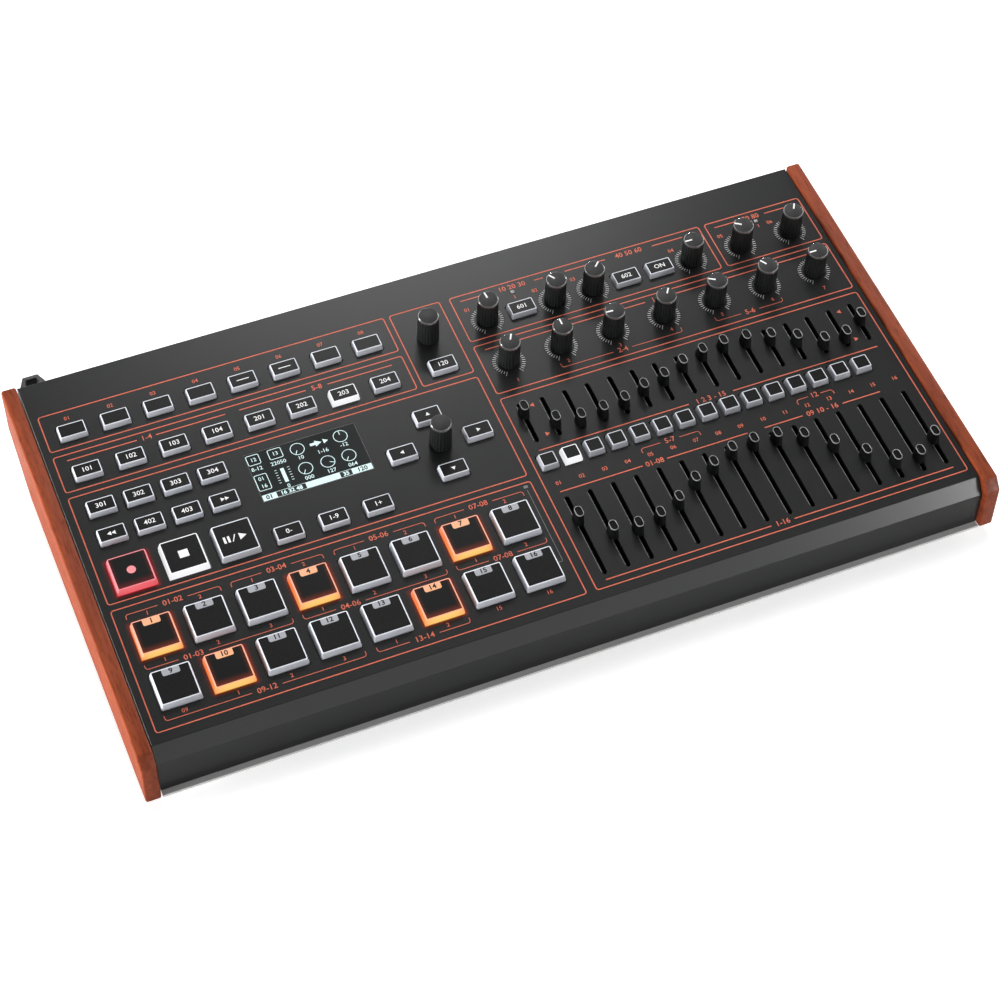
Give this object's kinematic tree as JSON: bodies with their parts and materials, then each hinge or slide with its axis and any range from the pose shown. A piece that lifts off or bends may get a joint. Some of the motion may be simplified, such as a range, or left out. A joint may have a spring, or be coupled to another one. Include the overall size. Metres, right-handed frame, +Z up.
{
  "type": "drum machine",
  "caption": "Desktop drum machine with a sloping steel control panel, wooden cheeks, slide faders, pads, keys, knobs and a display.",
  "frame": {"origin": "on the desk, under the middle of the footprint", "axes": "+X to the player's right, +Y to the back, +Z up"},
  "size_m": [0.4468, 0.2394, 0.0661],
  "materials": {
    "shell_steel": "satin",
    "base_steel": "satin",
    "cheek_wood": "oiled",
    "foot_rubber": "matte",
    "board_laminate": "solder mask",
    "display_glass": "gloss",
    "socket_plastic": "matte",
    "hook_steel": "gloss",
    "switch_plastic": "satin",
    "key_plastic": "satin",
    "knob_plastic": "satin",
    "fader_plastic": "satin"
  },
  "bodies": {
    "case": {"top_panel": "shell_steel", "bottom_pan": "base_steel", "left_cheek": "cheek_wood", "right_cheek": "cheek_wood", "rubber_feet": "foot_rubber", "circuit_board": "board_laminate", "display_module": "display_glass", "rear_sockets": "socket_plastic", "cable_hook": "hook_steel"},
    "pad_keys": {"pad_keys": "key_plastic"},
    "function_keys": {"function_keys": "key_plastic"},
    "select_keys": {"select_keys": "key_plastic"},
    "wave_knob_1": {"wave_knob_1": "knob_plastic"},
    "wave_knob_2": {"wave_knob_2": "knob_plastic"},
    "filter_knob_1": {"filter_knob_1": "knob_plastic"},
    "filter_knob_2": {"filter_knob_2": "knob_plastic"},
    "volume_knob_1": {"volume_knob_1": "knob_plastic"},
    "volume_knob_2": {"volume_knob_2": "knob_plastic"},
    "tuning_knob_1": {"tuning_knob_1": "knob_plastic"},
    "tuning_knob_2": {"tuning_knob_2": "knob_plastic"},
    "tuning_knob_3": {"tuning_knob_3": "knob_plastic"},
    "tuning_knob_4": {"tuning_knob_4": "knob_plastic"},
    "tuning_knob_5": {"tuning_knob_5": "knob_plastic"},
    "tuning_knob_6": {"tuning_knob_6": "knob_plastic"},
    "tuning_knob_7": {"tuning_knob_7": "knob_plastic"},
    "tempo_knob": {"tempo_knob": "knob_plastic"},
    "value_knob": {"value_knob": "knob_plastic"},
    "pan_fader_01": {"pan_fader_01": "fader_plastic"},
    "volume_fader_01": {"volume_fader_01": "fader_plastic"},
    "pan_fader_02": {"pan_fader_02": "fader_plastic"},
    "volume_fader_02": {"volume_fader_02": "fader_plastic"},
    "pan_fader_03": {"pan_fader_03": "fader_plastic"},
    "volume_fader_03": {"volume_fader_03": "fader_plastic"},
    "pan_fader_04": {"pan_fader_04": "fader_plastic"},
    "volume_fader_04": {"volume_fader_04": "fader_plastic"},
    "pan_fader_05": {"pan_fader_05": "fader_plastic"},
    "volume_fader_05": {"volume_fader_05": "fader_plastic"},
    "pan_fader_06": {"pan_fader_06": "fader_plastic"},
    "volume_fader_06": {"volume_fader_06": "fader_plastic"},
    "pan_fader_07": {"pan_fader_07": "fader_plastic"},
    "volume_fader_07": {"volume_fader_07": "fader_plastic"},
    "pan_fader_08": {"pan_fader_08": "fader_plastic"},
    "volume_fader_08": {"volume_fader_08": "fader_plastic"},
    "pan_fader_09": {"pan_fader_09": "fader_plastic"},
    "volume_fader_09": {"volume_fader_09": "fader_plastic"},
    "pan_fader_10": {"pan_fader_10": "fader_plastic"},
    "volume_fader_10": {"volume_fader_10": "fader_plastic"},
    "pan_fader_11": {"pan_fader_11": "fader_plastic"},
    "volume_fader_11": {"volume_fader_11": "fader_plastic"},
    "pan_fader_12": {"pan_fader_12": "fader_plastic"},
    "volume_fader_12": {"volume_fader_12": "fader_plastic"},
    "pan_fader_13": {"pan_fader_13": "fader_plastic"},
    "volume_fader_13": {"volume_fader_13": "fader_plastic"},
    "pan_fader_14": {"pan_fader_14": "fader_plastic"},
    "volume_fader_14": {"volume_fader_14": "fader_plastic"},
    "pan_fader_15": {"pan_fader_15": "fader_plastic"},
    "volume_fader_15": {"volume_fader_15": "fader_plastic"},
    "pan_fader_16": {"pan_fader_16": "fader_plastic"},
    "volume_fader_16": {"volume_fader_16": "fader_plastic"},
    "power_switch": {"power_switch": "switch_plastic"}
  },
  "joints": [
    {"name": "pad_keys_press", "type": "slide", "parent": "case", "child": "pad_keys", "axis": [0, -0.0661, 0.9978], "range_m": [-0.0008, 0], "stiffness_N_per_m": 1600, "springref_m": 0.0012},
    {"name": "function_keys_press", "type": "slide", "parent": "case", "child": "function_keys", "axis": [0, -0.0661, 0.9978], "range_m": [-0.0008, 0], "stiffness_N_per_m": 1600, "springref_m": 0.0012},
    {"name": "select_keys_press", "type": "slide", "parent": "case", "child": "select_keys", "axis": [0, -0.0661, 0.9978], "range_m": [-0.0008, 0], "stiffness_N_per_m": 900, "springref_m": 0.0012},
    {"name": "wave_knob_1_turn", "type": "hinge", "parent": "case", "child": "wave_knob_1", "pos_m": [0.0235, 0.06852, 0.04784], "axis": [0, -0.0661, 0.9978], "range_deg": [-150, 150]},
    {"name": "wave_knob_2_turn", "type": "hinge", "parent": "case", "child": "wave_knob_2", "pos_m": [0.0615, 0.06852, 0.04784], "axis": [0, -0.0661, 0.9978], "range_deg": [-190, 110]},
    {"name": "filter_knob_1_turn", "type": "hinge", "parent": "case", "child": "filter_knob_1", "pos_m": [0.083, 0.06852, 0.04784], "axis": [0, -0.0661, 0.9978], "range_deg": [-115, 185]},
    {"name": "filter_knob_2_turn", "type": "hinge", "parent": "case", "child": "filter_knob_2", "pos_m": [0.1397, 0.06852, 0.04784], "axis": [0, -0.0661, 0.9978], "range_deg": [-240, 60]},
    {"name": "volume_knob_1_turn", "type": "hinge", "parent": "case", "child": "volume_knob_1", "pos_m": [0.1686, 0.06852, 0.04784], "axis": [0, -0.0661, 0.9978], "range_deg": [-200, 100]},
    {"name": "volume_knob_2_turn", "type": "hinge", "parent": "case", "child": "volume_knob_2", "pos_m": [0.1978, 0.06852, 0.04784], "axis": [0, -0.0661, 0.9978], "range_deg": [-130, 170]},
    {"name": "tuning_knob_1_turn", "type": "hinge", "parent": "case", "child": "tuning_knob_1", "pos_m": [0.0235, 0.03898, 0.04588], "axis": [0, -0.0661, 0.9978], "range_deg": [-130, 170]},
    {"name": "tuning_knob_2_turn", "type": "hinge", "parent": "case", "child": "tuning_knob_2", "pos_m": [0.05253, 0.03898, 0.04588], "axis": [0, -0.0661, 0.9978], "range_deg": [-150, 150]},
    {"name": "tuning_knob_3_turn", "type": "hinge", "parent": "case", "child": "tuning_knob_3", "pos_m": [0.08156, 0.03898, 0.04588], "axis": [0, -0.0661, 0.9978], "range_deg": [-245, 55]},
    {"name": "tuning_knob_4_turn", "type": "hinge", "parent": "case", "child": "tuning_knob_4", "pos_m": [0.11059, 0.03898, 0.04588], "axis": [0, -0.0661, 0.9978], "range_deg": [-105, 195]},
    {"name": "tuning_knob_5_turn", "type": "hinge", "parent": "case", "child": "tuning_knob_5", "pos_m": [0.13962, 0.03898, 0.04588], "axis": [0, -0.0661, 0.9978], "range_deg": [-210, 90]},
    {"name": "tuning_knob_6_turn", "type": "hinge", "parent": "case", "child": "tuning_knob_6", "pos_m": [0.16865, 0.03898, 0.04588], "axis": [0, -0.0661, 0.9978], "range_deg": [-185, 115]},
    {"name": "tuning_knob_7_turn", "type": "hinge", "parent": "case", "child": "tuning_knob_7", "pos_m": [0.19768, 0.03898, 0.04588], "axis": [0, -0.0661, 0.9978], "range_deg": [-240, 60]},
    {"name": "tempo_knob_turn", "type": "hinge", "parent": "case", "child": "tempo_knob", "pos_m": [-0.0096, 0.06802, 0.0478], "axis": [0, -0.0661, 0.9978], "continuous": true},
    {"name": "value_knob_turn", "type": "hinge", "parent": "case", "child": "value_knob", "pos_m": [-0.0285, 0.00246, 0.04346], "axis": [0, -0.0661, 0.9978], "continuous": true},
    {"name": "pan_fader_01_slide", "type": "slide", "parent": "case", "child": "pan_fader_01", "axis": [0, 0.9978, 0.0661], "range_m": [-0.0155, 0.0045]},
    {"name": "volume_fader_01_slide", "type": "slide", "parent": "case", "child": "volume_fader_01", "axis": [0, 0.9978, 0.0661], "range_m": [-0.0315, 0.0135]},
    {"name": "pan_fader_02_slide", "type": "slide", "parent": "case", "child": "pan_fader_02", "axis": [0, 0.9978, 0.0661], "range_m": [-0.004, 0.016]},
    {"name": "volume_fader_02_slide", "type": "slide", "parent": "case", "child": "volume_fader_02", "axis": [0, 0.9978, 0.0661], "range_m": [-0.018, 0.027]},
    {"name": "pan_fader_03_slide", "type": "slide", "parent": "case", "child": "pan_fader_03", "axis": [0, 0.9978, 0.0661], "range_m": [-0.001, 0.019]},
    {"name": "volume_fader_03_slide", "type": "slide", "parent": "case", "child": "volume_fader_03", "axis": [0, 0.9978, 0.0661], "range_m": [-0.01553, 0.02948]},
    {"name": "pan_fader_04_slide", "type": "slide", "parent": "case", "child": "pan_fader_04", "axis": [0, 0.9978, 0.0661], "range_m": [-0.0014, 0.0186]},
    {"name": "volume_fader_04_slide", "type": "slide", "parent": "case", "child": "volume_fader_04", "axis": [0, 0.9978, 0.0661], "range_m": [-0.01733, 0.02768]},
    {"name": "pan_fader_05_slide", "type": "slide", "parent": "case", "child": "pan_fader_05", "axis": [0, 0.9978, 0.0661], "range_m": [-0.0032, 0.0168]},
    {"name": "volume_fader_05_slide", "type": "slide", "parent": "case", "child": "volume_fader_05", "axis": [0, 0.9978, 0.0661], "range_m": [-0.02272, 0.02227]},
    {"name": "pan_fader_06_slide", "type": "slide", "parent": "case", "child": "pan_fader_06", "axis": [0, 0.9978, 0.0661], "range_m": [-0.0072, 0.0128]},
    {"name": "volume_fader_06_slide", "type": "slide", "parent": "case", "child": "volume_fader_06", "axis": [0, 0.9978, 0.0661], "range_m": [-0.0306, 0.0144]},
    {"name": "pan_fader_07_slide", "type": "slide", "parent": "case", "child": "pan_fader_07", "axis": [0, 0.9978, 0.0661], "range_m": [-0.01, 0.01]},
    {"name": "volume_fader_07_slide", "type": "slide", "parent": "case", "child": "volume_fader_07", "axis": [0, 0.9978, 0.0661], "range_m": [-0.036, 0.009]},
    {"name": "pan_fader_08_slide", "type": "slide", "parent": "case", "child": "pan_fader_08", "axis": [0, 0.9978, 0.0661], "range_m": [-0.0145, 0.0055]},
    {"name": "volume_fader_08_slide", "type": "slide", "parent": "case", "child": "volume_fader_08", "axis": [0, 0.9978, 0.0661], "range_m": [-0.04095, 0.00405]},
    {"name": "pan_fader_09_slide", "type": "slide", "parent": "case", "child": "pan_fader_09", "axis": [0, 0.9978, 0.0661], "range_m": [-0.0175, 0.0025]},
    {"name": "volume_fader_09_slide", "type": "slide", "parent": "case", "child": "volume_fader_09", "axis": [0, 0.9978, 0.0661], "range_m": [-0.04208, 0.00293]},
    {"name": "pan_fader_10_slide", "type": "slide", "parent": "case", "child": "pan_fader_10", "axis": [0, 0.9978, 0.0661], "range_m": [-0.0188, 0.0012]},
    {"name": "volume_fader_10_slide", "type": "slide", "parent": "case", "child": "volume_fader_10", "axis": [0, 0.9978, 0.0661], "range_m": [-0.04095, 0.00405]},
    {"name": "pan_fader_11_slide", "type": "slide", "parent": "case", "child": "pan_fader_11", "axis": [0, 0.9978, 0.0661], "range_m": [-0.0177, 0.0023]},
    {"name": "volume_fader_11_slide", "type": "slide", "parent": "case", "child": "volume_fader_11", "axis": [0, 0.9978, 0.0661], "range_m": [-0.036, 0.009]},
    {"name": "pan_fader_12_slide", "type": "slide", "parent": "case", "child": "pan_fader_12", "axis": [0, 0.9978, 0.0661], "range_m": [-0.0142, 0.0058]},
    {"name": "volume_fader_12_slide", "type": "slide", "parent": "case", "child": "volume_fader_12", "axis": [0, 0.9978, 0.0661], "range_m": [-0.02678, 0.01823]},
    {"name": "pan_fader_13_slide", "type": "slide", "parent": "case", "child": "pan_fader_13", "axis": [0, 0.9978, 0.0661], "range_m": [-0.0086, 0.0114]},
    {"name": "volume_fader_13_slide", "type": "slide", "parent": "case", "child": "volume_fader_13", "axis": [0, 0.9978, 0.0661], "range_m": [-0.01575, 0.02925]},
    {"name": "pan_fader_14_slide", "type": "slide", "parent": "case", "child": "pan_fader_14", "axis": [0, 0.9978, 0.0661], "range_m": [-0.0022, 0.0178]},
    {"name": "volume_fader_14_slide", "type": "slide", "parent": "case", "child": "volume_fader_14", "axis": [0, 0.9978, 0.0661], "range_m": [-0.00698, 0.03803]},
    {"name": "pan_fader_15_slide", "type": "slide", "parent": "case", "child": "pan_fader_15", "axis": [0, 0.9978, 0.0661], "range_m": [-0.0021, 0.0179]},
    {"name": "volume_fader_15_slide", "type": "slide", "parent": "case", "child": "volume_fader_15", "axis": [0, 0.9978, 0.0661], "range_m": [-0.00562, 0.03938]},
    {"name": "pan_fader_16_slide", "type": "slide", "parent": "case", "child": "pan_fader_16", "axis": [0, 0.9978, 0.0661], "range_m": [-0.01, 0.01]},
    {"name": "volume_fader_16_slide", "type": "slide", "parent": "case", "child": "volume_fader_16", "axis": [0, 0.9978, 0.0661], "range_m": [-0.01372, 0.03127]},
    {"name": "power_switch_rock", "type": "hinge", "parent": "case", "child": "power_switch", "pos_m": [-0.1695, 0.11023, 0.03891], "axis": [0, 0, -1], "range_deg": [0, 16]}
  ]
}
